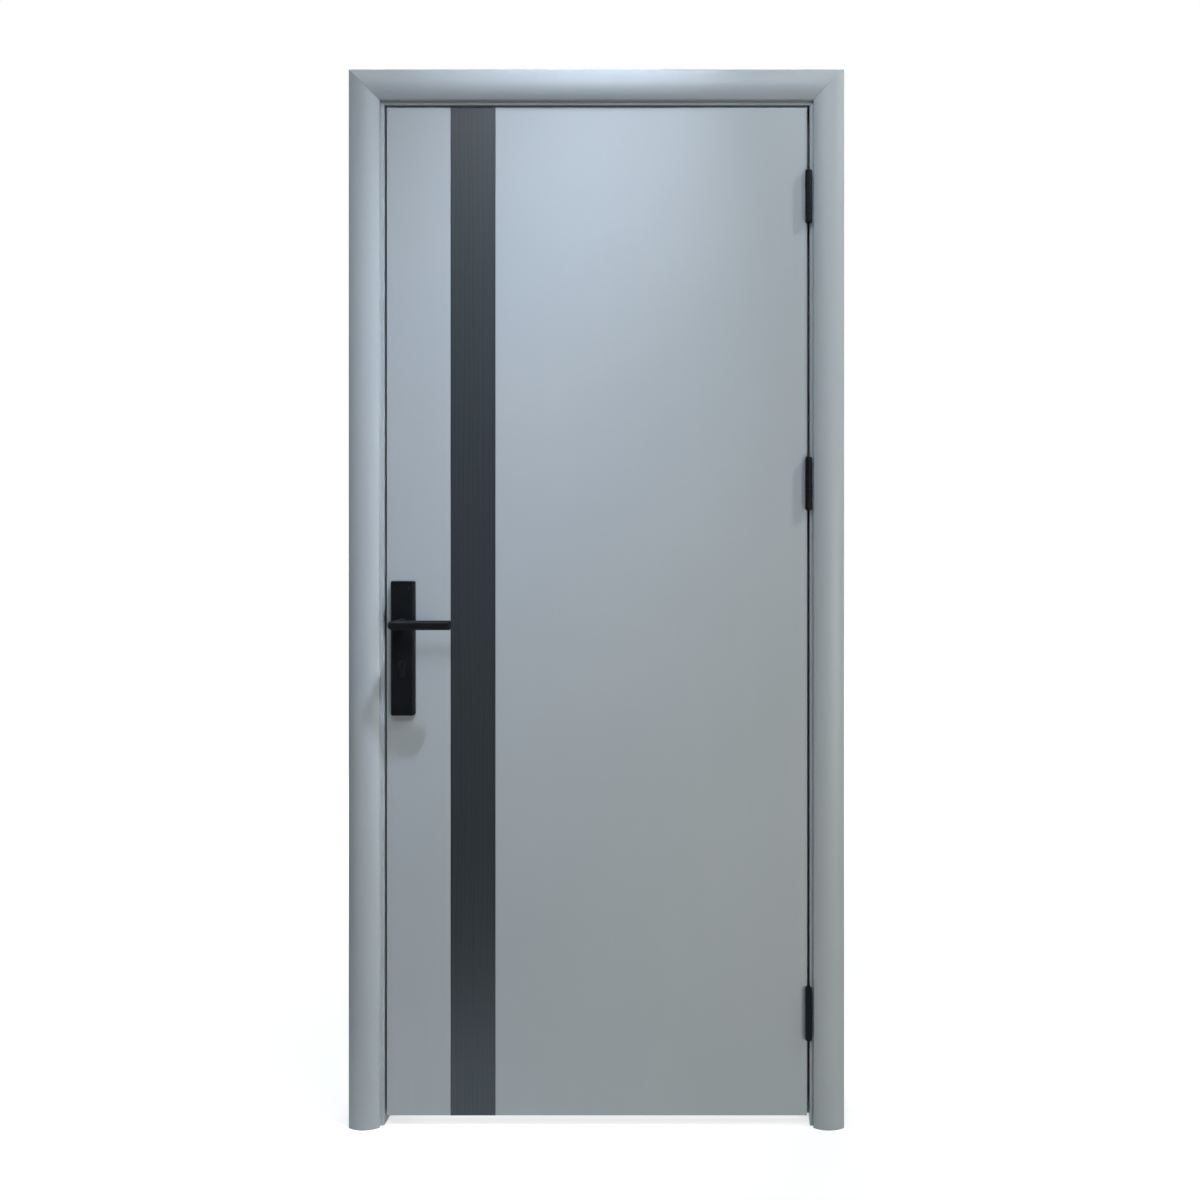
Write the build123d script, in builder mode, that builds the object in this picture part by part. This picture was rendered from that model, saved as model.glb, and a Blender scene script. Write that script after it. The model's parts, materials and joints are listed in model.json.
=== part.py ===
from build123d import *
import os

# Hinged flush door in a cased frame, in millimetres.
# The origin is at floor level on the wall face of the hinge jamb, half way through the wall.
# +X points from the opening into the wall on the hinge side, -Y is the side that the leaf opens to, +Z is up.

# Leaf
leaf_width = 850.0
leaf_height = 2038.0
leaf_thickness = 40.0
board_thickness = 4.0
leaf_arris = 1.5
strip_inset = 129.0
strip_width = 91.0
strip_bevel = 0.8

# Gaps round the leaf
side_gap = 5.0
top_gap = 5.0
floor_gap = 20.0
stop_gap = 5.0

# Jambs, stops and seals
wall_thickness = 120.0
jamb_thickness = 40.0
jamb_arris = 1.5
mitre_gap = 0.3
stop_projection = 15.0
stop_width = 40.0
stop_arris = 2.0
seal_inset = 10.0
seal_fin_thickness = 2.0
seal_fin_depth = 5.0
seal_clearance = 0.3

# Casings, with the tongue that holds them in the jambs
reveal = 7.0
casing_width = 62.0
casing_edge = 8.0
casing_crown = 17.0
casing_arris = 3.0
tongue_inset = 10.0
tongue_thickness = 5.0
tongue_depth = 10.0
tongue_clearance = 0.2

# Butt hinges
hinge_height = 102.0
hinge_plate_width = 30.0
hinge_plate_thickness = 2.5
knuckle_count = 5
knuckle_radius = 7.0
knuckle_gap = 0.3
pin_radius = 3.0
pin_clearance = 0.05
pin_offset = 8.0
pin_tip_height = 2.5
pin_tip_radius = 6.2
top_hinge_drop = 182.0
middle_hinge_drop = 760.0
bottom_hinge_rise = 210.0

# Lock and its strike
backset = 35.0
spindle_height = 1018.0
lock_centres = 85.0
forend_width = 22.0
forend_height = 220.0
forend_thickness = 3.0
latch_width = 11.0
latch_height = 18.0
latch_bevel = 7.0
bolt_width = 11.0
bolt_height = 32.0
bolt_depth = 20.0
bolt_clearance = 0.3
strike_width = 24.0
strike_height = 170.0
strike_thickness = 2.0
strike_lip_height = 44.0
strike_play = 1.5
strike_pocket_depth = 14.0

# Key cylinder
cylinder_radius = 8.5
cylinder_tail_width = 10.0
cylinder_height = 33.0
cylinder_proud = 1.0
cylinder_clearance = 0.15
cylinder_leaf_clearance = 1.0
keyway_width = 2.5
keyway_height = 9.0
keyway_depth = 9.0

# Lever handles on their plates
plate_width = 48.0
plate_height = 270.0
plate_thickness = 12.0
plate_bevel = 4.0
plate_corner = 3.0
plate_top_rise = 83.0
neck_radius = 9.0
neck_clearance = 0.06
neck_leaf_gap = 0.5
lever_reach = 58.0
lever_length = 111.0
lever_heel = 4.0
grip_height = 18.4
grip_thickness = 11.0
grip_bevel = 4.0
grip_back_bevel = 1.5
grip_corner_bevel = 2.5
spindle_width = 8.0
spindle_clearance = 0.1
spindle_socket_depth = 20.0
spindle_bore_radius = 10.0

# Planes and edges that the pieces share
opening_width = leaf_width + 2 * side_gap
head_height = floor_gap + leaf_height + top_gap
hinge_face = -jamb_thickness
lock_face = hinge_face - opening_width
opening_centre = (hinge_face + lock_face) / 2
wall_face = wall_thickness / 2
leaf_front = -wall_face
leaf_back = leaf_front + leaf_thickness
leaf_middle = (leaf_front + leaf_back) / 2
leaf_top = floor_gap + leaf_height
leaf_hinge_edge = hinge_face - side_gap
leaf_lock_edge = leaf_hinge_edge - leaf_width
stop_front = wall_face - leaf_thickness - stop_gap
seal_radius = (stop_gap - seal_clearance) / 2
tongue_centre = reveal + tongue_inset + tongue_thickness / 2
pin_x = hinge_face - side_gap / 2
pin_y = leaf_front - pin_offset
hinge_centres = {
    "upper": leaf_top - top_hinge_drop,
    "middle": leaf_top - middle_hinge_drop,
    "lower": floor_gap + bottom_hinge_rise,
}
spindle_x = leaf_lock_edge + backset
cylinder_level = spindle_height - lock_centres
forend_level = spindle_height - lock_centres / 2
plate_level = spindle_height + plate_top_rise - plate_height / 2
lever_faces = {"front": (leaf_front, -1), "back": (leaf_back, 1)}

os.makedirs("parts", exist_ok=True)


def write(piece, name):
    """Labels one finished piece and writes its file."""
    piece.label = name
    export_step(piece, f"parts/{name}.step")


# Frame members: each one is a section, run along its side of the opening and mitred at the corners
def section_plane(side, face):
    """Plane across a member: local x runs outward from the opening, local y towards the face."""
    outward = {"hinge": Vector(1, 0, 0), "lock": Vector(-1, 0, 0), "head": Vector(0, 0, 1)}[side]
    corner = {
        "hinge": (hinge_face, 0, 0),
        "lock": (lock_face, 0, 0),
        "head": (opening_centre, 0, head_height),
    }[side]
    facing = Vector(0, -1, 0) if face == "front" else Vector(0, 1, 0)
    return Plane(origin=corner, x_dir=outward, z_dir=outward.cross(facing))


def mitre_plane(side):
    """Plane of the corner joint, facing up towards the head member."""
    corner_x = hinge_face if side == "hinge" else lock_face
    inward = -1 if side == "hinge" else 1
    return Plane(origin=(corner_x, 0, head_height), x_dir=(0, 1, 0), z_dir=(inward, 0, 1))


def frame_member(side, section, reach):
    """One straight member with the given section, which reaches this far out from the opening."""
    with BuildPart() as member:
        if side == "head":
            extrude(section, amount=opening_width / 2 + reach, both=True)
            for corner in ("hinge", "lock"):
                split(bisect_by=mitre_plane(corner).offset(mitre_gap / 2), keep=Keep.TOP)
        else:
            extrude(section, amount=head_height + reach, dir=(0, 0, 1))
            split(bisect_by=mitre_plane(side).offset(-mitre_gap / 2), keep=Keep.BOTTOM)
    return member.part


def casing_section(side, face):
    """Convex moulding on the wall face, with a tongue into the jamb."""
    outer = reveal + casing_width
    shoulder = wall_face + casing_edge
    tongue_near = tongue_centre - tongue_thickness / 2
    tongue_far = tongue_centre + tongue_thickness / 2
    tongue_end = wall_face - tongue_depth
    with BuildSketch(section_plane(side, face)) as section:
        with BuildLine():
            Polyline(
                (outer, shoulder),
                (outer, wall_face),
                (tongue_far, wall_face),
                (tongue_far, tongue_end),
                (tongue_near, tongue_end),
                (tongue_near, wall_face),
                (reveal, wall_face),
                (reveal, shoulder),
            )
            crown = ((reveal + outer) / 2, wall_face + casing_crown)
            ThreePointArc((reveal, shoulder), crown, (outer, shoulder))
        make_face()
        fillet(section.vertices().group_by(Axis.Y)[-1], radius=casing_arris)
    return section.sketch


def jamb_section(side):
    """Board as deep as the wall, grooved in both edges for the casings' tongues."""
    groove_depth = tongue_depth + tongue_clearance
    groove_middle = wall_face - groove_depth / 2
    with BuildSketch(section_plane(side, "front")) as section:
        with Locations((jamb_thickness / 2, 0)):
            Rectangle(jamb_thickness, wall_thickness)
        fillet(section.vertices().group_by(Axis.X)[0], radius=jamb_arris)
        with Locations((tongue_centre, groove_middle), (tongue_centre, -groove_middle)):
            Rectangle(tongue_thickness + 2 * tongue_clearance, groove_depth, mode=Mode.SUBTRACT)
    return section.sketch


def stop_section(side):
    """Strip that the leaf closes against, grooved for the seal."""
    fin_depth = seal_fin_depth + tongue_clearance
    with BuildSketch(section_plane(side, "front")) as section:
        with Locations((-stop_projection / 2, stop_front - stop_width / 2)):
            Rectangle(stop_projection, stop_width)
        fillet(section.vertices().group_by(Axis.X)[0], radius=stop_arris)
        with Locations((-seal_inset, stop_front - fin_depth / 2)):
            Rectangle(seal_fin_thickness + 2 * tongue_clearance, fin_depth, mode=Mode.SUBTRACT)
    return section.sketch


def seal_section(side):
    """Soft rubber bulb on the face of the stop, with a fin that grips the groove."""
    with BuildSketch(section_plane(side, "front")) as section:
        with Locations((-seal_inset, stop_front + seal_radius)):
            Circle(seal_radius)
        with Locations((-seal_inset, stop_front + seal_radius / 2)):
            Rectangle(2 * seal_radius, seal_radius)
        with Locations((-seal_inset, stop_front - seal_fin_depth / 2)):
            Rectangle(seal_fin_thickness, seal_fin_depth)
    return section.sketch


for side in ("hinge", "lock", "head"):
    write(frame_member(side, stop_section(side), 0), f"{side}_stop")
    write(frame_member(side, seal_section(side), 0), f"{side}_seal")
    for face in ("front", "back"):
        casing = frame_member(side, casing_section(side, face), reveal + casing_width)
        write(casing, f"{face}_{side}_casing")

write(frame_member("head", jamb_section("head"), jamb_thickness), "head_jamb")


# Hinge jamb, with a shallow seat for each hinge plate
def seat_hinges(face_x, seat_depth):
    """Sinks the seats of the three hinge plates into an edge that stands at face_x."""
    for level in hinge_centres.values():
        with BuildSketch(Plane.YZ.offset(face_x)) as seat:
            with Locations((leaf_front + hinge_plate_width / 2, level)):
                Rectangle(hinge_plate_width, hinge_height)
        extrude(seat.sketch, amount=seat_depth, mode=Mode.SUBTRACT)


with BuildPart() as hinge_jamb:
    add(frame_member("hinge", jamb_section("hinge"), jamb_thickness))
    seat_hinges(hinge_face, hinge_plate_thickness)
write(hinge_jamb.part, "hinge_jamb")


# Lock jamb and its strike plate
def strike_outline():
    """Strike plate with its lip to the front edge of the jamb, seen from the opening."""
    with BuildSketch(Plane.YZ.offset(lock_face)) as outline:
        with Locations((leaf_middle, forend_level)):
            Rectangle(strike_width, strike_height)
        lip_depth = leaf_middle - leaf_front
        with Locations((leaf_front + lip_depth / 2, spindle_height)):
            Rectangle(lip_depth, strike_lip_height)
    return outline.sketch


def keeper_outline(face_x, play):
    """The places of the latch and the bolt, each widened by the play."""
    with BuildSketch(Plane.YZ.offset(face_x)) as outline:
        with Locations((leaf_middle, spindle_height)):
            Rectangle(latch_width + 2 * play, latch_height + 2 * play)
        with Locations((leaf_middle, cylinder_level)):
            Rectangle(bolt_width + 2 * play, bolt_height + 2 * play)
    return outline.sketch


with BuildPart() as lock_jamb:
    add(frame_member("lock", jamb_section("lock"), jamb_thickness))
    extrude(strike_outline(), amount=-strike_thickness, mode=Mode.SUBTRACT)
    keepers = keeper_outline(lock_face, strike_play)
    extrude(keepers, amount=-strike_pocket_depth, mode=Mode.SUBTRACT)
write(lock_jamb.part, "lock_jamb")

with BuildPart() as strike_plate:
    extrude(strike_outline(), amount=-strike_thickness)
    extrude(keeper_outline(lock_face, strike_play), amount=-strike_thickness, mode=Mode.SUBTRACT)
write(strike_plate.part, "strike_plate")


# Butt hinges: the knuckles of the two halves take turns on one pin
def hinge_half(level, hand, knuckles):
    """Plate let into an edge and the knuckles that it carries; hand is 1 on the jamb and -1 on the leaf."""
    foot = level - hinge_height / 2
    pitch = hinge_height / knuckle_count
    plate_x = pin_x + hand * (side_gap + hinge_plate_thickness) / 2
    with BuildPart() as half:
        with BuildSketch(Plane.XY.offset(foot)):
            with Locations((plate_x, leaf_front + hinge_plate_width / 2)):
                Rectangle(hinge_plate_thickness, hinge_plate_width)
        extrude(amount=hinge_height)
        for index in knuckles:
            with BuildSketch(Plane.XY.offset(foot + index * pitch + knuckle_gap / 2)):
                with Locations((pin_x, pin_y)):
                    Circle(knuckle_radius)
                with Locations((plate_x, pin_y + pin_offset / 2)):
                    Rectangle(hinge_plate_thickness, pin_offset)
            extrude(amount=pitch - knuckle_gap)
        with Locations((pin_x, pin_y, level)):
            Cylinder(pin_radius + pin_clearance, hinge_height, mode=Mode.SUBTRACT)
    return half.part


def hinge_pin(level):
    """Pin with a flat button at each end."""
    tip_middle = (hinge_height + pin_tip_height) / 2
    with BuildPart() as pin:
        with Locations((pin_x, pin_y, level)):
            Cylinder(pin_radius, hinge_height)
        with Locations((pin_x, pin_y, level + tip_middle), (pin_x, pin_y, level - tip_middle)):
            Cylinder(pin_tip_radius, pin_tip_height)
    return pin.part


jamb_knuckles = range(0, knuckle_count, 2)
leaf_knuckles = range(1, knuckle_count, 2)
for name, level in hinge_centres.items():
    write(hinge_half(level, 1, jamb_knuckles), f"{name}_hinge_jamb_plate")
    write(hinge_half(level, -1, leaf_knuckles), f"{name}_hinge_leaf_plate")
    write(hinge_pin(level), f"{name}_hinge_pin")


# Key cylinder: a round plug over a narrow tail
def cylinder_outline(start_y, clearance):
    """Outline of the cylinder in a plane across its axis, widened by the clearance."""
    across = Plane(origin=(spindle_x, start_y, cylinder_level), x_dir=(1, 0, 0), z_dir=(0, -1, 0))
    tail_radius = cylinder_tail_width / 2
    tail_drop = cylinder_height - cylinder_radius - tail_radius
    with BuildSketch(across) as outline:
        Circle(cylinder_radius + clearance)
        with Locations((0, -tail_drop / 2)):
            Rectangle(cylinder_tail_width + 2 * clearance, tail_drop)
        with Locations((0, -tail_drop)):
            Circle(tail_radius + clearance)
    return outline.sketch


cylinder_front = leaf_front - plate_thickness - cylinder_proud
cylinder_back = leaf_back + plate_thickness + cylinder_proud
with BuildPart() as key_cylinder:
    extrude(cylinder_outline(cylinder_back, 0), amount=cylinder_back - cylinder_front)
    for end, inward in ((cylinder_front, 1), (cylinder_back, -1)):
        mouth = Plane(origin=(spindle_x, end, cylinder_level), x_dir=(1, 0, 0), z_dir=(0, inward, 0))
        with BuildSketch(mouth) as keyway:
            Rectangle(keyway_width, keyway_height)
        extrude(keyway.sketch, amount=keyway_depth, mode=Mode.SUBTRACT)
write(key_cylinder.part, "key_cylinder")


# Leaf: a core between boards, with a dark strip let in between the boards on both faces
def bore_for_lock():
    """Makes room for the spindle and the key cylinder through the piece under way."""
    across = Plane(origin=(spindle_x, leaf_back, spindle_height), x_dir=(1, 0, 0), z_dir=(0, -1, 0))
    with BuildSketch(across) as spindle_way:
        Circle(spindle_bore_radius)
    extrude(spindle_way.sketch, amount=leaf_thickness, mode=Mode.SUBTRACT)
    cylinder_way = cylinder_outline(leaf_back, cylinder_leaf_clearance)
    extrude(cylinder_way, amount=leaf_thickness, mode=Mode.SUBTRACT)


with BuildPart() as leaf_core:
    with BuildSketch(Plane.XY.offset(floor_gap)):
        with Locations(((leaf_hinge_edge + leaf_lock_edge) / 2, leaf_middle)):
            Rectangle(leaf_width, leaf_thickness - 2 * board_thickness)
    extrude(amount=leaf_height)
    seat_hinges(leaf_hinge_edge, -hinge_plate_thickness)
    bore_for_lock()
    with BuildSketch(Plane.YZ.offset(leaf_lock_edge)) as forend_seat:
        with Locations((leaf_middle, forend_level)):
            Rectangle(forend_width, forend_height)
    extrude(forend_seat.sketch, amount=forend_thickness, mode=Mode.SUBTRACT)
    bolt_pockets = keeper_outline(leaf_lock_edge, bolt_clearance)
    extrude(bolt_pockets, amount=bolt_depth + bolt_clearance, mode=Mode.SUBTRACT)
write(leaf_core.part, "leaf_core")


def face_board(low_x, high_x, face):
    """One upright board of a face of the leaf, square edged."""
    face_y, outward = lever_faces[face]
    seat = Plane(
        origin=((low_x + high_x) / 2, face_y - outward * board_thickness, floor_gap),
        x_dir=(1, 0, 0),
        z_dir=(0, outward, 0),
    )
    rise = Vector(0, 0, 1).dot(seat.y_dir)
    with BuildSketch(seat) as outline:
        with Locations((0, rise * leaf_height / 2)):
            Rectangle(high_x - low_x, leaf_height)
    return extrude(outline.sketch, amount=board_thickness)


def outer_face(face):
    """The face of the board under way that shows."""
    return faces().sort_by(Axis.Y)[0 if face == "front" else -1]


strip_lock_edge = leaf_lock_edge + strip_inset
strip_hinge_edge = strip_lock_edge + strip_width
for face in ("front", "back"):
    with BuildPart() as lock_board:
        add(face_board(leaf_lock_edge, strip_lock_edge, face))
        fillet(outer_face(face).edges().sort_by(Axis.X)[:-1], radius=leaf_arris)
        bore_for_lock()
    write(lock_board.part, f"{face}_lock_board")

    with BuildPart() as dark_strip:
        add(face_board(strip_lock_edge, strip_hinge_edge, face))
        chamfer(outer_face(face).edges(), length=strip_bevel)
    write(dark_strip.part, f"{face}_dark_strip")

    with BuildPart() as hinge_board:
        add(face_board(strip_hinge_edge, leaf_hinge_edge, face))
        fillet(outer_face(face).edges().sort_by(Axis.X)[1:], radius=leaf_arris)
        seat_hinges(leaf_hinge_edge, -hinge_plate_thickness)
    write(hinge_board.part, f"{face}_hinge_board")


# Lock pieces in the edge of the leaf, drawn back behind the forend
with BuildPart() as lock_forend:
    with BuildSketch(Plane.YZ.offset(leaf_lock_edge)):
        with Locations((leaf_middle, forend_level)):
            Rectangle(forend_width, forend_height)
    extrude(amount=forend_thickness)
    slots = keeper_outline(leaf_lock_edge, bolt_clearance)
    extrude(slots, amount=forend_thickness, mode=Mode.SUBTRACT)
write(lock_forend.part, "lock_forend")

with BuildPart() as latch_bolt:
    with BuildSketch(Plane.XY.offset(spindle_height - latch_height / 2)):
        with BuildLine():
            latch_front = leaf_middle - latch_width / 2
            latch_back = leaf_middle + latch_width / 2
            latch_end = leaf_lock_edge + bolt_depth
            Polyline(
                (leaf_lock_edge, latch_front),
                (leaf_lock_edge + latch_bevel, latch_back),
                (latch_end, latch_back),
                (latch_end, latch_front),
                close=True,
            )
        make_face()
    extrude(amount=latch_height)
write(latch_bolt.part, "latch_bolt")

with BuildPart() as dead_bolt:
    with BuildSketch(Plane.YZ.offset(leaf_lock_edge)):
        with Locations((leaf_middle, cylinder_level)):
            Rectangle(bolt_width, bolt_height)
    extrude(amount=bolt_depth)
write(dead_bolt.part, "dead_bolt")


# Lever handles
def handle_plate(face):
    """Long bevelled plate on one face of the leaf."""
    face_y, outward = lever_faces[face]
    front_y = face_y + outward * plate_thickness
    bevel_y = front_y - outward * plate_bevel
    half_width = plate_width / 2
    with BuildPart() as plate:
        with BuildSketch(Plane.XY.offset(plate_level - plate_height / 2)):
            with BuildLine():
                Polyline(
                    (spindle_x - half_width, face_y),
                    (spindle_x - half_width, bevel_y),
                    (spindle_x - half_width + plate_bevel, front_y),
                    (spindle_x + half_width - plate_bevel, front_y),
                    (spindle_x + half_width, bevel_y),
                    (spindle_x + half_width, face_y),
                    close=True,
                )
            make_face()
        extrude(amount=plate_height)
        fillet(plate.edges().filter_by(Axis.Y), radius=plate_corner)
        across = Plane(origin=(spindle_x, front_y, spindle_height), x_dir=(1, 0, 0), z_dir=(0, outward, 0))
        with Locations(across):
            Hole(neck_radius + neck_clearance)
        cylinder_way = cylinder_outline(face_y, cylinder_clearance)
        extrude(cylinder_way, amount=-outward * plate_thickness, mode=Mode.SUBTRACT)
    return plate.part


def lever(face):
    """Round neck through the plate, under a flat bar with a round heel that points to the hinge side."""
    face_y, outward = lever_faces[face]
    neck_foot = face_y + outward * neck_leaf_gap
    bar_back = face_y + outward * (lever_reach - grip_thickness / 2)
    base = Plane(origin=(spindle_x, neck_foot, spindle_height), x_dir=(1, 0, 0), z_dir=(0, outward, 0))
    bar_seat = Plane(origin=(spindle_x, bar_back, spindle_height), x_dir=(1, 0, 0), z_dir=(0, outward, 0))
    with BuildPart() as handle:
        with BuildSketch(bar_seat) as bar:
            with Locations(((lever_length - lever_heel) / 2, 0)):
                Rectangle(lever_length + lever_heel, grip_height)
            chamfer(bar.vertices().group_by(Axis.X)[-1], length=grip_corner_bevel)
            with Locations((-lever_heel, 0)):
                Circle(grip_height / 2)
        extrude(amount=grip_thickness)
        near_face, *_, far_face = handle.faces().filter_by(Axis.Y).sort_by(Axis.Y)
        grip_face, back_face = (near_face, far_face) if face == "front" else (far_face, near_face)
        chamfer(grip_face.edges(), length=grip_bevel)
        chamfer(back_face.edges(), length=grip_back_bevel)
        with BuildSketch(base):
            Circle(neck_radius)
        extrude(amount=abs(bar_back - neck_foot))
        with BuildSketch(base) as socket:
            Rectangle(spindle_width + 2 * spindle_clearance, spindle_width + 2 * spindle_clearance)
        extrude(socket.sketch, amount=spindle_socket_depth, mode=Mode.SUBTRACT)
    return handle.part


for face in ("front", "back"):
    write(handle_plate(face), f"{face}_handle_plate")
    write(lever(face), f"{face}_lever")

with BuildPart() as spindle:
    spindle_end = leaf_back + neck_leaf_gap + spindle_socket_depth - spindle_clearance
    spindle_start = leaf_front - neck_leaf_gap - spindle_socket_depth + spindle_clearance
    across = Plane(origin=(spindle_x, spindle_end, spindle_height), x_dir=(1, 0, 0), z_dir=(0, -1, 0))
    with BuildSketch(across):
        Rectangle(spindle_width, spindle_width)
    extrude(amount=spindle_end - spindle_start)
write(spindle.part, "spindle")
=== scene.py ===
import json
import math

import bmesh
import bpy
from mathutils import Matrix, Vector


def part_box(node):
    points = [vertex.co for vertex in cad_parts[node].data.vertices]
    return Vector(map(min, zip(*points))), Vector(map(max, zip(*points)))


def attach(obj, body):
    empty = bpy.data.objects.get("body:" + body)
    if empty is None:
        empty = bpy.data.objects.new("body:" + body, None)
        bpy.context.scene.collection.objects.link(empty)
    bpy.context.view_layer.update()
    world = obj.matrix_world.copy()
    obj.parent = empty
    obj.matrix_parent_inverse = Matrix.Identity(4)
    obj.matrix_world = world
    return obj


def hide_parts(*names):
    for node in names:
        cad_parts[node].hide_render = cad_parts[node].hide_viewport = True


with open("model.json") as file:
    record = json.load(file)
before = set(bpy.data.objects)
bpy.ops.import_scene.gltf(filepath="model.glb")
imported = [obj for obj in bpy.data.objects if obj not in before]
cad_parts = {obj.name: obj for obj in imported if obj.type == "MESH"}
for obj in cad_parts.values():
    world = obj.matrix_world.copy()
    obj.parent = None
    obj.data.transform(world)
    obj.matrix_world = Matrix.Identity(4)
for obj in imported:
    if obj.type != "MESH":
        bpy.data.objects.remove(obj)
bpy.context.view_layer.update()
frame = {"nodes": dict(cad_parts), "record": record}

# Places and sizes read from the frame, in metres
hinge_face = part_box("hinge_jamb")[0].x
lock_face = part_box("lock_jamb")[1].x
head_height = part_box("head_jamb")[0].z
wall_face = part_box("hinge_jamb")[1].y
leaf_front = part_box("front_hinge_board")[0].y
leaf_hinge_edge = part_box("leaf_core")[1].x
opening_middle = (hinge_face + lock_face) / 2
bodies = frame["record"]["behaviour"]["bodies"]
node_body = {name: body for body, names in bodies.items() for name in names}
node_slot = {part["node"]: part["material_slot"] for part in frame["record"]["subparts"]}
hinge_names = ("upper", "middle", "lower")
sides = ("hinge", "lock", "head")
faces = ("front", "back")

# Sizes of the finer shapes
casing_edge = 0.008
casing_arris = 0.003
tongue_inset = 0.010
tongue_thickness = 0.005
mitre_gap = 0.0003
arris_steps = 6
crown_steps = 36
pin_turns = 40
pin_shaft = 0.0030
pin_tip_round = 0.0014
pin_tip_steps = 6
coat_round = 0.0005
plate_round = 0.0007
hinge_round = 0.0003
steel_round = 0.0003
rounding_steps = 3
rounding_angle = math.radians(30)

# Screws
hinge_screw_radius = 0.0042
hinge_screw_count = 4
hinge_screw_pitch = 0.025
hinge_screw_stagger = 0.012
handle_screw_radius = 0.0038
handle_screw_inset = 0.014
handle_screw_spacing = 0.028
lock_screw_radius = 0.0040
lock_screw_inset = 0.010
screw_sides = 28
screw_top = 0.74
screw_seed = 7

# Camera: level and square to the door, with the frame of the picture
# moved down and left of the point it looks at
picture_side = 1200
picture_scale = 2.005e-3
view_point = (750, 500)
camera_distance = 2.1
camera_x = -0.1606
camera_height = 1.2645

# Colours, as linear values
paint_tone = (0.342, 0.375, 0.389)
strip_tone = (0.0256, 0.0325, 0.0368)
strip_grain_tone = (0.0185, 0.0228, 0.0250)
coat_tone = (0.0062, 0.0072, 0.0083)
hinge_tone = (0.0036, 0.0048, 0.0064)
coat_edge_tone = (0.019, 0.021, 0.024)
steel_tone = (0.50, 0.50, 0.49)
nickel_tone = (0.038, 0.038, 0.039)
rubber_tone = (0.016, 0.0165, 0.018)
dust_tone = (0.42, 0.43, 0.42)
card_tone = (0.03, 0.03, 0.03)

# How far the finishes round the edges in their shading, in metres, and how strongly they shine
lacquer_edge = 0.0012
laminate_edge = 0.0008
coat_edge = 0.0007
metal_edge = 0.0005
edge_samples = 6
lacquer_specular = 0.36
coat_specular = 0.13
metal_share = 0.8
brush_turn = 0.4

# Floor, room light and the cards across the room
floor_side = 40.0
floor_tone = (0.46, 0.46, 0.46)
floor_near = 0.9
floor_far = 2.6
floor_near_glow = 0.68
floor_far_glow = 1.0
# Glow that only reflections see: blue-white near the door and black further out, a painted reflection in the
# door's lower parts
floor_gloss_glow = 0.90
floor_gloss_tone = (0.70, 0.86, 1.0)
floor_gloss_near = 0.45
floor_gloss_far = 1.05
room_light = 0.12
room_tone = (1.0, 1.0, 1.0, 1.0)
card_width = 7.0
card_low = 0.01
card_high = 3.0
card_distance = 3.0

# Lamps: name, place, point looked at, size, power, tone and spread in degrees
lamps = (
    ("ceiling_lamp", (-0.50, -2.3, 3.4), (-0.47, -0.06, 1.6), (1.2, 0.8), 8.7, (0.87, 0.97, 1.12), 84),
    ("right_lamp", (1.60, -0.90, 3.2), (-0.05, -0.07, 1.3), (0.12, 0.12), 4.8, (1.02, 1.0, 0.98), 70),
    ("handle_lamp", (-0.075, -0.65, 3.26), (-0.90, -0.07, 0.80), (0.06, 0.06), 2.5, (0.88, 0.96, 1.15), 37),
    ("low_fill", (1.40, -2.4, 0.7), (-0.5, -0.06, 0.6), (0.8, 0.8), 26.5, (1.03, 1.02, 0.95), 180),
    ("low_lamp", (0.80, -2.4, 0.9), (-0.33, -0.06, 0.30), (0.6, 0.6), 0.50, (1.17, 1.07, 0.76), 48),
    ("front_overhead", (-0.47, -1.6, 4.6), (-0.47, -1.59, 0.0), (4.0, 2.4), 28.0, (0.93, 0.95, 1.06), 180),
    ("back_overhead", (-0.47, 1.6, 4.6), (-0.47, 1.59, 0.0), (4.0, 2.4), 33.0, (0.92, 0.98, 1.10), 180),
    ("back_lamp", (-0.5, 2.2, 3.4), (-0.5, 0.06, 1.8), (1.2, 0.8), 10.0, (0.88, 0.99, 1.13), 90),
    ("back_fill", (-2.3, 2.4, 0.9), (-0.5, 0.06, 0.8), (0.9, 1.0), 34.0, (1.01, 1.03, 0.96), 180),
)


# Node helpers
def add_node(tree, kind, inputs=None, **settings):
    """One node with its settings, and its sockets' values by name or place."""
    made = tree.nodes.new(kind)
    for name, value in settings.items():
        setattr(made, name, value)
    for socket, value in (inputs or {}).items():
        if isinstance(value, bpy.types.NodeSocket):
            tree.links.new(value, made.inputs[socket])
        else:
            made.inputs[socket].default_value = value
    return made


def place(tree, stretch=(1, 1, 1), offset=(0, 0, 0)):
    """Object coordinates, stretched and moved."""
    coordinates = add_node(tree, "ShaderNodeTexCoord")
    mapping = add_node(
        tree,
        "ShaderNodeMapping",
        {"Vector": coordinates.outputs["Object"], "Scale": stretch, "Location": offset},
    )
    return mapping.outputs["Vector"]


def noise(tree, vector, scale, detail=2.0, roughness=0.5, distortion=0.0):
    """Noise as a value."""
    made = add_node(
        tree,
        "ShaderNodeTexNoise",
        {
            "Vector": vector,
            "Scale": scale,
            "Detail": detail,
            "Roughness": roughness,
            "Distortion": distortion,
        },
    )
    return made.outputs[0]


def remap(tree, value, low, high, to_low=0.0, to_high=1.0):
    """Value between low and high as a share between to_low and to_high, held at the ends."""
    made = add_node(
        tree,
        "ShaderNodeMapRange",
        {"Value": value, "From Min": low, "From Max": high, "To Min": to_low, "To Max": to_high},
    )
    return made.outputs[0]


def maths(tree, operation, first, second):
    """One sum of two values."""
    made = add_node(tree, "ShaderNodeMath", {0: first, 1: second}, operation=operation)
    return made.outputs[0]


def mixed(tree, share, first, second):
    """Two colours mixed by a share."""
    made = add_node(tree, "ShaderNodeMix", {0: share, 6: first, 7: second}, data_type="RGBA")
    return made.outputs[2]


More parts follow.
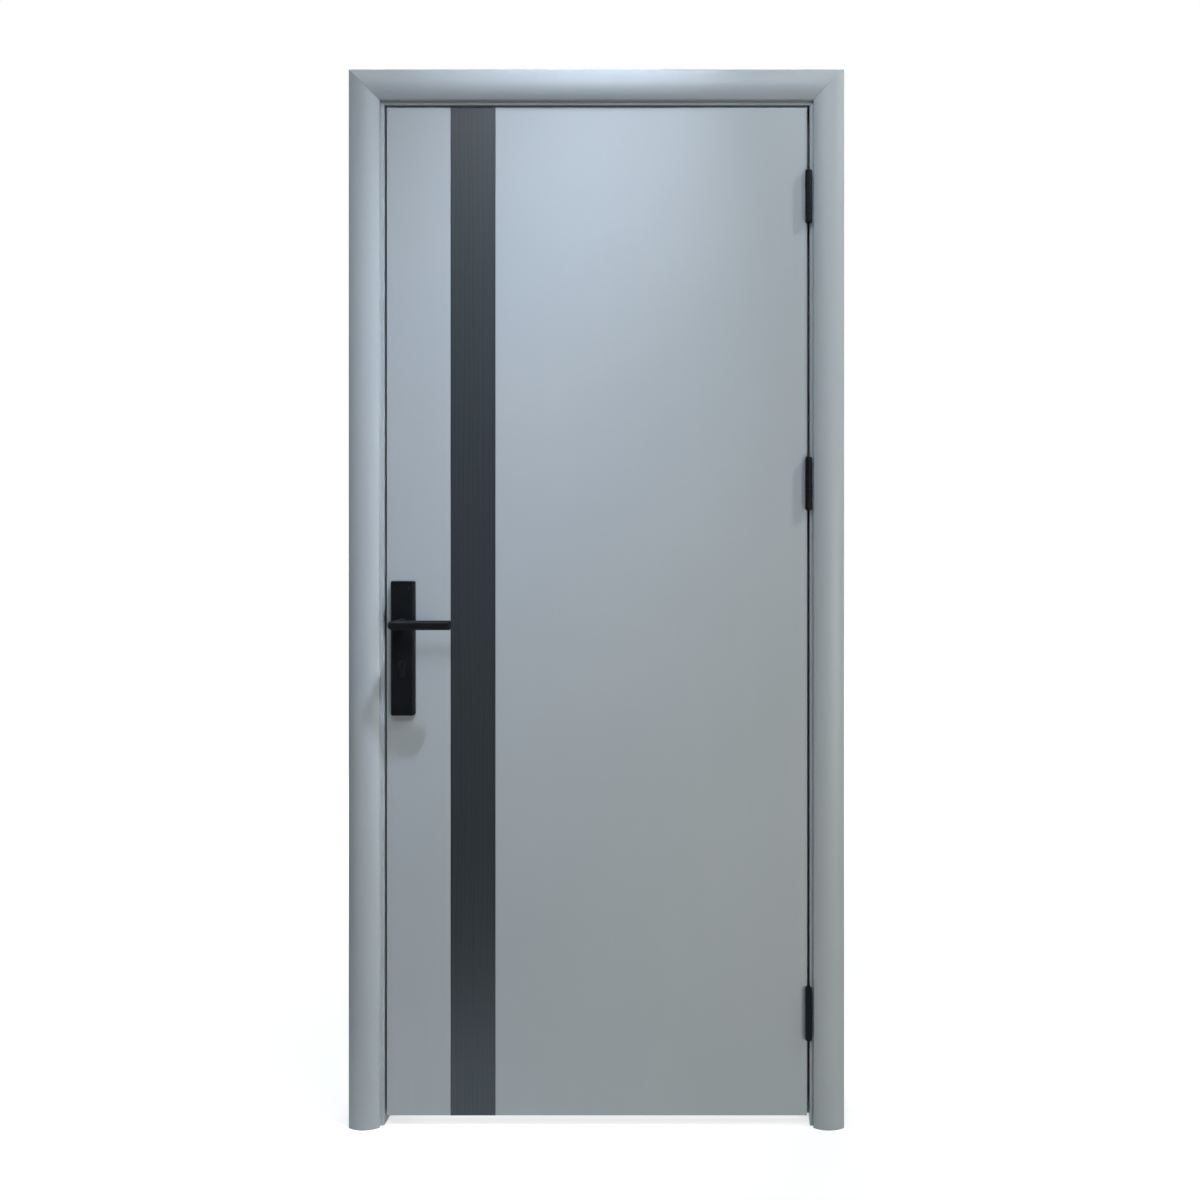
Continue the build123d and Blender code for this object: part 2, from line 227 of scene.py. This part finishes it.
def colour(tone, factor=1.0):
    """A tone made lighter or darker, with its alpha."""
    return tuple(min(1.0, part * factor) for part in tone) + (1.0,)


def edge_share(tree, radius):
    """How close a point is to a sharp edge, and the normal rounded over that edge."""
    rounded = add_node(tree, "ShaderNodeBevel", {"Radius": radius}, samples=edge_samples)
    geometry = add_node(tree, "ShaderNodeNewGeometry")
    alike = add_node(
        tree,
        "ShaderNodeVectorMath",
        {0: rounded.outputs["Normal"], 1: geometry.outputs["Normal"]},
        operation="DOT_PRODUCT",
    )
    return remap(tree, alike.outputs["Value"], 0.97, 0.80), rounded.outputs["Normal"]


def bumped(tree, height, strength, distance, normal=None):
    """The normal of a surface with a fine relief."""
    made = add_node(tree, "ShaderNodeBump", {"Height": height, "Strength": strength, "Distance": distance})
    if normal is not None:
        tree.links.new(normal, made.inputs["Normal"])
    return made.outputs["Normal"]


def new_finish(name):
    """A new material with its node tree and shader."""
    material = bpy.data.materials.new(name)
    material.use_nodes = True
    return material, material.node_tree, material.node_tree.nodes["Principled BSDF"]


def connect(tree, output, shader, socket):
    """Links an output to a named socket of the shader."""
    tree.links.new(output, shader.inputs[socket])


# Finishes
def satin_lacquer(name, offset, square_edges=True):
    """Sprayed grey-blue lacquer: a faint cloud in the tone and fine orange peel.

    Square edges are slightly rubbed.
    """
    material, tree, shader = new_finish(name)
    here = place(tree, offset=offset)
    cloud = remap(tree, noise(tree, here, 1.7, 3.0), 0.3, 0.7)
    mottle = remap(tree, noise(tree, here, 38.0, 3.0, 0.6), 0.3, 0.7)
    tone = mixed(tree, cloud, colour(paint_tone, 0.970), colour(paint_tone, 1.025))
    tone = mixed(tree, maths(tree, "MULTIPLY", mottle, 0.45), tone, colour(paint_tone, 0.985))
    streak = noise(tree, place(tree, (9.0, 9.0, 0.8), offset), 3.0, 3.0, 0.6)
    dust = remap(tree, streak, 0.52, 0.74, 0.0, 0.10)
    tone = mixed(tree, dust, tone, colour(dust_tone))
    normal = None
    if square_edges:
        edge, normal = edge_share(tree, lacquer_edge)
        rub = maths(tree, "MULTIPLY", edge, remap(tree, noise(tree, here, 90.0, 4.0, 0.65), 0.40, 0.66))
        tone = mixed(tree, maths(tree, "MULTIPLY", rub, 0.15), tone, colour(paint_tone, 1.25))
    connect(tree, tone, shader, "Base Color")
    shader.inputs["Specular IOR Level"].default_value = lacquer_specular
    sheen = remap(tree, noise(tree, here, 5.0, 4.0, 0.6), 0.3, 0.7, 0.40, 0.50)
    connect(tree, sheen, shader, "Roughness")
    peel = noise(tree, here, 420.0, 2.0)
    wave = noise(tree, here, 7.0, 2.0)
    normal = bumped(tree, wave, 0.03, 0.004, normal)
    normal = bumped(tree, peel, 0.06, 0.0006, normal)
    connect(tree, normal, shader, "Normal")
    return material


def dark_grain():
    """Dark grey laminate with a fine upright wood grain and a few long arches in it."""
    material, tree, shader = new_finish("dark_grain_laminate")
    fibre = noise(tree, place(tree, (1, 1, 0.022)), 950.0, 6.0, 0.70, 0.4)
    streak = noise(tree, place(tree, (1, 1, 0.045)), 46.0, 5.0, 0.6, 1.2)
    pores = remap(tree, noise(tree, place(tree, (1, 1, 0.018)), 1900.0, 3.0, 0.6), 0.58, 0.72)
    arches = add_node(
        tree,
        "ShaderNodeTexWave",
        {
            "Vector": place(tree, (1, 1, 0.085), (0.13, 0.0, 0.02)),
            "Scale": 34.0,
            "Distortion": 7.0,
            "Detail": 2.5,
            "Detail Scale": 0.7,
            "Detail Roughness": 0.55,
        },
        wave_type="BANDS",
        bands_direction="X",
        wave_profile="SAW",
    ).outputs[1]
    figure = maths(tree, "ADD", maths(tree, "MULTIPLY", streak, 0.30), maths(tree, "MULTIPLY", arches, 0.20))
    grain = maths(tree, "ADD", maths(tree, "MULTIPLY", fibre, 0.36), figure)
    share = remap(tree, grain, 0.22, 0.64)
    tone = mixed(tree, share, colour(strip_grain_tone), colour(strip_tone, 1.20))
    tone = mixed(tree, maths(tree, "MULTIPLY", pores, 0.4), tone, colour(strip_grain_tone, 0.7))
    edge, rounded = edge_share(tree, laminate_edge)
    tone = mixed(tree, maths(tree, "MULTIPLY", edge, 0.35), tone, colour(strip_tone, 1.9))
    connect(tree, tone, shader, "Base Color")
    connect(tree, remap(tree, grain, 0.18, 0.68, 0.44, 0.38), shader, "Roughness")
    height = maths(tree, "SUBTRACT", fibre, maths(tree, "MULTIPLY", pores, 0.8))
    connect(tree, bumped(tree, height, 0.10, 0.0003, rounded), shader, "Normal")
    return material


def black_coat(name, base, grain_depth, offset):
    """Satin black powder coat: a fine grain, and edges rubbed a little paler."""
    material, tree, shader = new_finish(name)
    here = place(tree, offset=offset)
    grain = noise(tree, here, 1700.0, 3.0, 0.6)
    cloud = noise(tree, here, 26.0, 3.0)
    tone = mixed(tree, remap(tree, cloud, 0.3, 0.7), colour(base, 0.88), colour(base, 1.16))
    edge, rounded = edge_share(tree, coat_edge)
    rub = maths(tree, "MULTIPLY", edge, remap(tree, noise(tree, here, 160.0, 4.0, 0.65), 0.36, 0.64))
    tone = mixed(tree, maths(tree, "MULTIPLY", rub, 0.5), tone, colour(coat_edge_tone))
    connect(tree, tone, shader, "Base Color")
    shader.inputs["Specular IOR Level"].default_value = coat_specular
    connect(tree, remap(tree, cloud, 0.3, 0.7, 0.38, 0.48), shader, "Roughness")
    connect(tree, bumped(tree, grain, grain_depth, 0.0002, rounded), shader, "Normal")
    return material


def brushed_metal(name, tone, stretch, roughness):
    """Bare metal with fine brush lines, a little duller where it was handled."""
    material, tree, shader = new_finish(name)
    lines = noise(tree, place(tree, stretch), 900.0, 4.0, 0.65)
    cloud = noise(tree, place(tree), 45.0, 3.0)
    shade = mixed(tree, remap(tree, lines, 0.3, 0.7), colour(tone, 0.86), colour(tone, 1.10))
    shade = mixed(tree, remap(tree, cloud, 0.45, 0.75, 0.0, 0.35), shade, colour(tone, 0.72))
    connect(tree, shade, shader, "Base Color")
    shader.inputs["Metallic"].default_value = metal_share
    shader.inputs["Anisotropic"].default_value = brush_turn
    connect(tree, remap(tree, lines, 0.3, 0.7, roughness - 0.06, roughness + 0.08), shader, "Roughness")
    _, rounded = edge_share(tree, metal_edge)
    connect(tree, bumped(tree, lines, 0.10, 0.0001, rounded), shader, "Normal")
    return material


def soft_rubber():
    """Matt black rubber with a fine bloom."""
    material, tree, shader = new_finish("seal_rubber_black")
    here = place(tree)
    bloom = remap(tree, noise(tree, here, 60.0, 4.0, 0.65), 0.45, 0.75, 0.0, 0.5)
    tone = mixed(tree, bloom, colour(rubber_tone), colour(rubber_tone, 2.2))
    connect(tree, tone, shader, "Base Color")
    connect(tree, remap(tree, bloom, 0.0, 0.5, 0.62, 0.78), shader, "Roughness")
    connect(tree, bumped(tree, noise(tree, here, 1200.0, 2.0), 0.12, 0.0002), shader, "Normal")
    return material


leaf_paint = satin_lacquer("leaf_lacquer", (0.0, 0.0, 0.0))
frame_paint = satin_lacquer("frame_lacquer", (3.7, 1.9, 0.6))
casing_paint = satin_lacquer("casing_lacquer", (5.2, 0.7, 2.4), square_edges=False)
laminate = dark_grain()
handle_coat = black_coat("handle_black_coat", coat_tone, 0.14, (0.0, 0.0, 0.0))
hinge_coat = black_coat("hinge_black_coat", hinge_tone, 0.07, (1.3, 0.4, 2.1))
lock_steel = brushed_metal("lock_brushed_steel", steel_tone, (1, 1, 0.03), 0.34)
cylinder_nickel = brushed_metal("cylinder_dark_nickel", nickel_tone, (0.2, 1, 0.2), 0.36)
rubber = soft_rubber()


def finish_of(node):
    """The finish that a node's surface takes."""
    slot = node_slot[node]
    if slot == "grey_blue_paint":
        return frame_paint if node_body[node] == "frame" else leaf_paint
    if slot == "black_hardware":
        return hinge_coat if "hinge" in node else handle_coat
    if node == "key_cylinder":
        return cylinder_nickel
    return {"dark_laminate": laminate, "lock_steel": lock_steel, "seal_rubber": rubber}[slot]


for name, piece in frame["nodes"].items():
    for slot in piece.material_slots:
        slot.link = "OBJECT"
        slot.material = finish_of(name)


# Mesh helpers
def smooth(mesh):
    """Smooth shading that keeps the sharp edges."""
    mesh.shade_smooth()
    mesh.set_sharp_from_angle(angle=rounding_angle)


def add_piece(name, mesh, body, material, slot, *nodes):
    """Puts a finished mesh on a body, with its finish and the nodes that it stands for."""
    piece = bpy.data.objects.new(name, mesh)
    bpy.context.scene.collection.objects.link(piece)
    if not mesh.materials:
        mesh.materials.append(material)
    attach(piece, body)
    if nodes:
        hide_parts(*nodes)
    return piece


def final_mesh(piece, name):
    """The mesh of an object with its modifiers carried out; the object itself is removed."""
    graph = bpy.context.evaluated_depsgraph_get()
    mesh = bpy.data.meshes.new_from_object(piece.evaluated_get(graph), depsgraph=graph)
    mesh.name = name
    old = piece.data
    bpy.data.objects.remove(piece)
    bpy.data.meshes.remove(old)
    return mesh


def rounded_copy(node, width):
    """A copy of a node with its seams merged and its edges rounded, which stands for the node."""
    shape = bmesh.new()
    shape.from_mesh(frame["nodes"][node].data)
    bmesh.ops.remove_doubles(shape, verts=shape.verts, dist=1e-6)
    bmesh.ops.dissolve_limit(shape, angle_limit=math.radians(1), verts=shape.verts, edges=shape.edges)
    mesh = bpy.data.meshes.new(node + "_plain")
    shape.to_mesh(mesh)
    shape.free()
    if "custom_normal" in mesh.attributes:
        mesh.attributes.remove(mesh.attributes["custom_normal"])
    mesh.shade_smooth()
    draft = bpy.data.objects.new(node + "_plain", mesh)
    bpy.context.scene.collection.objects.link(draft)
    bevel = draft.modifiers.new("rounded edges", "BEVEL")
    bevel.width = width
    bevel.segments = rounding_steps
    bevel.limit_method = "ANGLE"
    bevel.angle_limit = rounding_angle
    bevel.miter_outer = "MITER_ARC"
    flattened = draft.modifiers.new("flat faces kept flat", "WEIGHTED_NORMAL")
    flattened.weight = 100
    finished = final_mesh(draft, node + "_rounded")
    finished.materials.clear()
    return add_piece(node + "_rounded", finished, node_body[node], finish_of(node), node_slot[node], node)


# Casings: a convex moulding run along each side and mitred at the head
def casing_outline(reveal, outer, crown, tongue_end):
    """Section as points (out from the opening, out from the middle of the wall)."""
    middle = (reveal + outer) / 2
    half = (outer - reveal) / 2
    rise = crown - wall_face - casing_edge
    radius = (half ** 2 + rise ** 2) / (2 * rise)
    centre = crown - radius
    corner_out = half - casing_arris
    corner_up = centre + math.sqrt((radius - casing_arris) ** 2 - corner_out ** 2)
    turn = math.atan2(corner_up - centre, corner_out)
    outline = []
    for step in range(arris_steps + 1):
        angle = turn * step / arris_steps
        outline.append((
            middle + corner_out + casing_arris * math.cos(angle),
            corner_up + casing_arris * math.sin(angle),
        ))
    for step in range(1, crown_steps):
        angle = turn + (math.pi - 2 * turn) * step / crown_steps
        outline.append((middle + radius * math.cos(angle), centre + radius * math.sin(angle)))
    for step in range(arris_steps + 1):
        angle = math.pi - turn * (1 - step / arris_steps)
        outline.append((
            middle - corner_out + casing_arris * math.cos(angle),
            corner_up + casing_arris * math.sin(angle),
        ))
    tongue_near = reveal + tongue_inset
    tongue_far = tongue_near + tongue_thickness
    outline += [
        (reveal, wall_face),
        (tongue_near, wall_face),
        (tongue_near, tongue_end),
        (tongue_far, tongue_end),
        (tongue_far, wall_face),
        (outer, wall_face),
    ]
    return outline


def casing(side, face):
    """One casing, as two outlines joined along its length and closed at both ends."""
    node = f"{face}_{side}_casing"
    leg_low, leg_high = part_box("front_hinge_casing")
    reveal = leg_low.x - hinge_face
    outer = leg_high.x - hinge_face
    outline = casing_outline(reveal, outer, -leg_low.y, -leg_high.y)
    toward = -1 if face == "front" else 1
    step_back = mitre_gap / math.sqrt(2)
    shape = bmesh.new()
    ends = []
    for end in (0, 1):
        ring = []
        for out, up in outline:
            if side == "head":
                x = lock_face - out + step_back if end == 0 else hinge_face + out - step_back
                point = (x, toward * up, head_height + out)
            else:
                x = lock_face - out if side == "lock" else hinge_face + out
                point = (x, toward * up, 0.0 if end == 0 else head_height + out - step_back)
            ring.append(shape.verts.new(point))
        ends.append(ring)
        shape.faces.new(ring)
    for index in range(len(outline)):
        following = (index + 1) % len(outline)
        shape.faces.new((ends[0][index], ends[0][following], ends[1][following], ends[1][index]))
    bmesh.ops.recalc_face_normals(shape, faces=shape.faces)
    mesh = bpy.data.meshes.new(node + "_moulding")
    shape.to_mesh(mesh)
    shape.free()
    smooth(mesh)
    add_piece(node + "_moulding", mesh, "frame", casing_paint, "grey_blue_paint", node)


for side in sides:
    for face in faces:
        casing(side, face)


# Hinge pins with domed buttons
def hinge_pin(name):
    """A turned pin with a button at each end."""
    node = f"{name}_hinge_pin"
    low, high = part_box(node)
    centre = (low + high) / 2
    radius = (high.x - low.x) / 2
    half = (high.z - low.z) / 2
    button = high.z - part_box(f"{name}_hinge_jamb_plate")[1].z
    profile = [(0.0, half)]
    for step in range(pin_tip_steps + 1):
        angle = math.pi / 2 * (1 - step / pin_tip_steps)
        profile.append((
            radius - pin_tip_round + pin_tip_round * math.cos(angle),
            half - pin_tip_round + pin_tip_round * math.sin(angle),
        ))
    profile.append((radius, half - button))
    profile.append((pin_shaft, half - button))
    profile += [(out, -up) for out, up in reversed(profile)]
    shape = bmesh.new()
    rings = []
    for out, up in profile:
        if out == 0.0:
            rings.append([shape.verts.new((centre.x, centre.y, centre.z + up))])
            continue
        turns = [2 * math.pi * turn / pin_turns for turn in range(pin_turns)]
        rings.append([
            shape.verts.new((centre.x + out * math.cos(turn), centre.y + out * math.sin(turn), centre.z + up))
            for turn in turns
        ])
    for ring, following in zip(rings, rings[1:]):
        for turn in range(pin_turns):
            corners = [
                ring[turn % len(ring)],
                ring[(turn + 1) % len(ring)],
                following[(turn + 1) % len(following)],
                following[turn % len(following)],
            ]
            shape.faces.new(list(dict.fromkeys(corners)))
    bmesh.ops.recalc_face_normals(shape, faces=shape.faces)
    mesh = bpy.data.meshes.new(node + "_turned")
    shape.to_mesh(mesh)
    shape.free()
    smooth(mesh)
    add_piece(node + "_turned", mesh, "frame", hinge_coat, "black_hardware", node)


for name in hinge_names:
    hinge_pin(name)
    rounded_copy(f"{name}_hinge_jamb_plate", hinge_round)
    rounded_copy(f"{name}_hinge_leaf_plate", hinge_round)

for face in faces:
    rounded_copy(f"{face}_handle_plate", plate_round)
    rounded_copy(f"{face}_lever", coat_round)

for node in ("lock_forend", "strike_plate", "latch_bolt", "dead_bolt", "key_cylinder"):
    rounded_copy(node, steel_round)


# Screws: one head with a cross recess, set at each marked point and turned at random
def screw_tree():
    """Node group that puts a screw head at each marked point."""
    tree = bpy.data.node_groups.new("screw_heads", "GeometryNodeTree")
    sockets = tree.interface
    sockets.new_socket("Geometry", in_out="INPUT", socket_type="NodeSocketGeometry")
    named = (("Head Height", 0.16), ("Recess Length", 1.05), ("Recess Width", 0.24), ("Recess Depth", 0.30))
    for title, value in named:
        sockets.new_socket(title, in_out="INPUT", socket_type="NodeSocketFloat").default_value = value
    sockets.new_socket("Seed", in_out="INPUT", socket_type="NodeSocketInt")
    sockets.new_socket("Coated", in_out="INPUT", socket_type="NodeSocketMaterial")
    sockets.new_socket("Plated", in_out="INPUT", socket_type="NodeSocketMaterial")
    sockets.new_socket("Geometry", in_out="OUTPUT", socket_type="NodeSocketGeometry")
    given = add_node(tree, "NodeGroupInput").outputs
    head = add_node(
        tree,
        "GeometryNodeMeshCone",
        {
            "Vertices": screw_sides,
            "Radius Top": screw_top,
            "Radius Bottom": 1.0,
            "Depth": given["Head Height"],
        },
    )
    arms = add_node(tree, "GeometryNodeJoinGeometry")
    for across in (True, False):
        long_side, short_side = given["Recess Length"], given["Recess Width"]
        size = add_node(
            tree,
            "ShaderNodeCombineXYZ",
            {
                "X": long_side if across else short_side,
                "Y": short_side if across else long_side,
                "Z": given["Recess Depth"],
            },
        )
        bar = add_node(tree, "GeometryNodeMeshCube", {"Size": size.outputs[0]})
        tree.links.new(bar.outputs["Mesh"], arms.inputs["Geometry"])
    lift = add_node(tree, "ShaderNodeCombineXYZ", {"Z": given["Head Height"]})
    raised = add_node(
        tree, "GeometryNodeTransform", {"Geometry": arms.outputs[0], "Translation": lift.outputs[0]}
    )
    cut = add_node(tree, "GeometryNodeMeshBoolean", operation="DIFFERENCE")
    tree.links.new(head.outputs["Mesh"], cut.inputs["Mesh 1"])
    tree.links.new(raised.outputs[0], cut.inputs["Mesh 2"])
    facing = add_node(tree, "GeometryNodeInputNamedAttribute", {"Name": "facing"}, data_type="FLOAT_VECTOR")
    aligned = add_node(tree, "FunctionNodeAlignRotationToVector", {"Vector": facing.outputs[0]}, axis="Z")
    spin = add_node(
        tree,
        "FunctionNodeRandomValue",
        {"Min": 0.0, "Max": math.pi, "Seed": given["Seed"]},
        data_type="FLOAT",
    )
    around = add_node(tree, "FunctionNodeAxisAngleToRotation", {"Axis": (0, 0, 1)})
    tree.links.new(next(o for o in spin.outputs if o.enabled and o.type == "VALUE"), around.inputs["Angle"])
    turned = add_node(tree, "FunctionNodeRotateRotation", rotation_space="LOCAL")
    tree.links.new(aligned.outputs[0], turned.inputs["Rotation"])
    tree.links.new(around.outputs[0], turned.inputs["Rotate By"])
    radius = add_node(tree, "GeometryNodeInputNamedAttribute", {"Name": "head_radius"}, data_type="FLOAT")
    points = add_node(tree, "GeometryNodeMeshToPoints", {"Mesh": given["Geometry"]})
    scattered = add_node(
        tree,
        "GeometryNodeInstanceOnPoints",
        {
            "Points": points.outputs[0],
            "Instance": cut.outputs["Mesh"],
            "Rotation": turned.outputs[0],
            "Scale": radius.outputs[0],
        },
    )
    real = add_node(tree, "GeometryNodeRealizeInstances", {"Geometry": scattered.outputs[0]})
    plated = add_node(tree, "GeometryNodeInputNamedAttribute", {"Name": "plated"}, data_type="BOOLEAN")
    coated = add_node(
        tree, "GeometryNodeSetMaterial", {"Geometry": real.outputs[0], "Material": given["Coated"]}
    )
    both = add_node(
        tree,
        "GeometryNodeSetMaterial",
        {"Geometry": coated.outputs[0], "Selection": plated.outputs[0], "Material": given["Plated"]},
    )
    add_node(tree, "NodeGroupOutput", {"Geometry": both.outputs[0]})
    return tree


def screw_heads(name, body, marks, coated, plated, slot):
    """All the screws of one body, from marks of place, facing, radius and whether the screw is plated."""
    mesh = bpy.data.meshes.new(name + "_marks")
    mesh.from_pydata([mark[0] for mark in marks], [], [])
    for title, kind in (("facing", "FLOAT_VECTOR"), ("head_radius", "FLOAT"), ("plated", "BOOLEAN")):
        mesh.attributes.new(title, kind, "POINT")
    for index, (_, direction, size, is_plated) in enumerate(marks):
        mesh.attributes["facing"].data[index].vector = direction
        mesh.attributes["head_radius"].data[index].value = size
        mesh.attributes["plated"].data[index].value = is_plated
    draft = bpy.data.objects.new(name + "_marks", mesh)
    bpy.context.scene.collection.objects.link(draft)
    modifier = draft.modifiers.new("screws", "NODES")
    modifier.node_group = screw_tree()
    values = {"Seed": screw_seed, "Coated": coated, "Plated": plated}
    for item in modifier.node_group.interface.items_tree:
        if item.in_out == "INPUT" and item.name in values:
            modifier[item.identifier] = values[item.name]
    finished = final_mesh(draft, name)
    for index in reversed(range(len(finished.materials))):
        if finished.materials[index] is None:
            finished.materials.pop(index=index)
    smooth(finished)
    add_piece(name, finished, body, coated, slot)


def hinge_screw_marks(face_x, towards):
    """Screws that zigzag down the three plates on an edge."""
    marks = []
    for name in hinge_names:
        low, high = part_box(f"{name}_hinge_jamb_plate")
        middle = Vector((face_x, (leaf_front + high.y) / 2, (low.z + high.z) / 2))
        for index in range(hinge_screw_count):
            across = hinge_screw_stagger / 2 * (-1) ** index
            along = hinge_screw_pitch * (index - (hinge_screw_count - 1) / 2)
            marks.append((middle + Vector((0, across, along)), (towards, 0, 0), hinge_screw_radius, False))
    return marks


def handle_screw_marks(face):
    """Screws near the four corners of a handle plate."""
    low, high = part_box(f"{face}_handle_plate")
    towards = -1 if face == "front" else 1
    face_y = low.y if face == "front" else high.y
    middle = (low.x + high.x) / 2
    marks = []
    for z in (low.z + handle_screw_inset, high.z - handle_screw_inset):
        for across in (-handle_screw_spacing / 2, handle_screw_spacing / 2):
            marks.append((Vector((middle + across, face_y, z)), (0, towards, 0), handle_screw_radius, False))
    return marks


def lock_screw_marks(node, towards):
    """A screw near each end of a lock plate."""
    low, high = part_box(node)
    face_x = low.x if towards < 0 else high.x
    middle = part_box("latch_bolt")[0].lerp(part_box("latch_bolt")[1], 0.5).y
    levels = (low.z + lock_screw_inset, high.z - lock_screw_inset)
    return [(Vector((face_x, middle, z)), (towards, 0, 0), lock_screw_radius, True) for z in levels]


frame_marks = hinge_screw_marks(hinge_face, -1) + lock_screw_marks("strike_plate", 1)
leaf_marks = hinge_screw_marks(leaf_hinge_edge, 1) + lock_screw_marks("lock_forend", -1)
for face in faces:
    leaf_marks += handle_screw_marks(face)
screw_heads("frame_screws", "frame", frame_marks, hinge_coat, lock_steel, "black_hardware")
screw_heads("leaf_screws", "leaf", leaf_marks, handle_coat, lock_steel, "black_hardware")


# Stage: pale floor, white background, soft lamps
def ray_shares(tree):
    """1 for rays from the camera, and 1 for those that a gloss or glass sends on."""
    rays = add_node(tree, "ShaderNodeLightPath").outputs
    return rays["Is Camera Ray"], maths(tree, "MAXIMUM", rays["Is Glossy Ray"], rays["Is Transmission Ray"])


def pale_floor():
    """A floor that the camera sees as white apart from the door's shadow; in reflections it glows blue-white
    near the door and is black further out, a painted reflection.
    """
    mesh = bpy.data.meshes.new("floor")
    half = floor_side / 2
    corners = [(-half, -half, 0), (half, -half, 0), (half, half, 0), (-half, half, 0)]
    mesh.from_pydata(corners, [], [(0, 1, 2, 3)])
    floor = bpy.data.objects.new("floor", mesh)
    bpy.context.scene.collection.objects.link(floor)
    material, tree, shader = new_finish("pale_floor")
    shader.inputs["Roughness"].default_value = 1.0
    shader.inputs["Specular IOR Level"].default_value = 0.0
    away = add_node(
        tree,
        "ShaderNodeVectorMath",
        {0: place(tree, offset=(-opening_middle, 0, 0))},
        operation="LENGTH",
    ).outputs["Value"]
    direct, sent_on = ray_shares(tree)
    # Painted reflection: gloss rays see a blue-white glow near the door and a black floor further out
    far = maths(tree, "MULTIPLY", sent_on, remap(tree, away, floor_gloss_near, floor_gloss_far))
    connect(tree, mixed(tree, far, colour(floor_tone), (0, 0, 0, 1)), shader, "Base Color")
    glow = remap(tree, away, floor_near, floor_far, floor_near_glow, floor_far_glow)
    plain = maths(tree, "MULTIPLY", direct, glow)
    gloss = maths(tree, "MULTIPLY", maths(tree, "SUBTRACT", sent_on, far), floor_gloss_glow)
    connect(tree, mixed(tree, sent_on, (1, 1, 1, 1), colour(floor_gloss_tone)), shader, "Emission Color")
    connect(tree, maths(tree, "ADD", plain, gloss), shader, "Emission Strength")
    mesh.materials.append(material)


def white_world():
    """Even room light, with a plain white background for the camera."""
    world = bpy.data.worlds.new("white_room")
    bpy.context.scene.world = world
    world.use_nodes = True
    tree = world.node_tree
    tree.nodes.clear()
    lit = add_node(tree, "ShaderNodeBackground", {"Color": room_tone, "Strength": room_light})
    white = add_node(tree, "ShaderNodeBackground", {"Color": (1, 1, 1, 1), "Strength": 1.0})
    seen = maths(tree, "MAXIMUM", *ray_shares(tree))
    both = add_node(tree, "ShaderNodeMixShader", {0: seen, 1: lit.outputs[0], 2: white.outputs[0]})
    add_node(tree, "ShaderNodeOutputWorld", {"Surface": both.outputs[0]})


def lamp(name, place_m, aim_m, size, power, tone, spread):
    """A soft rectangular lamp that looks at a point."""
    data = bpy.data.lights.new(name, "AREA")
    data.shape = "RECTANGLE"
    data.size, data.size_y = size
    data.energy = power
    data.color = tone
    data.spread = math.radians(spread)
    made = bpy.data.objects.new(name, data)
    bpy.context.scene.collection.objects.link(made)
    made.location = place_m
    made.visible_camera = False
    made.rotation_euler = (Vector(aim_m) - Vector(place_m)).to_track_quat("-Z", "Y").to_euler()


def dark_card(name, y):
    """A dark card across the room, which only reflections show."""
    mesh = bpy.data.meshes.new(name)
    near, far = opening_middle - card_width / 2, opening_middle + card_width / 2
    corners = [(near, card_low), (far, card_low), (far, card_high), (near, card_high)]
    mesh.from_pydata([(x, y, z) for x, z in corners], [], [(0, 1, 2, 3)])
    card = bpy.data.objects.new(name, mesh)
    bpy.context.scene.collection.objects.link(card)
    material, _, shader = new_finish(name)
    shader.inputs["Base Color"].default_value = colour(card_tone)
    shader.inputs["Roughness"].default_value = 1.0
    mesh.materials.append(material)
    card.visible_camera = False
    card.visible_diffuse = False
    card.visible_shadow = False


pale_floor()
white_world()
dark_card("front_card", -card_distance)
dark_card("back_card", card_distance)
for values in lamps:
    lamp(*values)

camera_data = bpy.data.cameras.new("camera")
camera = bpy.data.objects.new("camera", camera_data)
bpy.context.scene.collection.objects.link(camera)
crown_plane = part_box("front_head_casing")[0].y
camera.location = (camera_x, crown_plane - camera_distance, camera_height)
camera.rotation_euler = (math.pi / 2, 0, 0)
camera_data.lens = camera_data.sensor_width * camera_distance / (picture_side * picture_scale)
camera_data.shift_x = (picture_side / 2 - view_point[0]) / picture_side
camera_data.shift_y = (view_point[1] - picture_side / 2) / picture_side
bpy.context.scene.camera = camera
bpy.context.scene.view_settings.view_transform = "Standard"
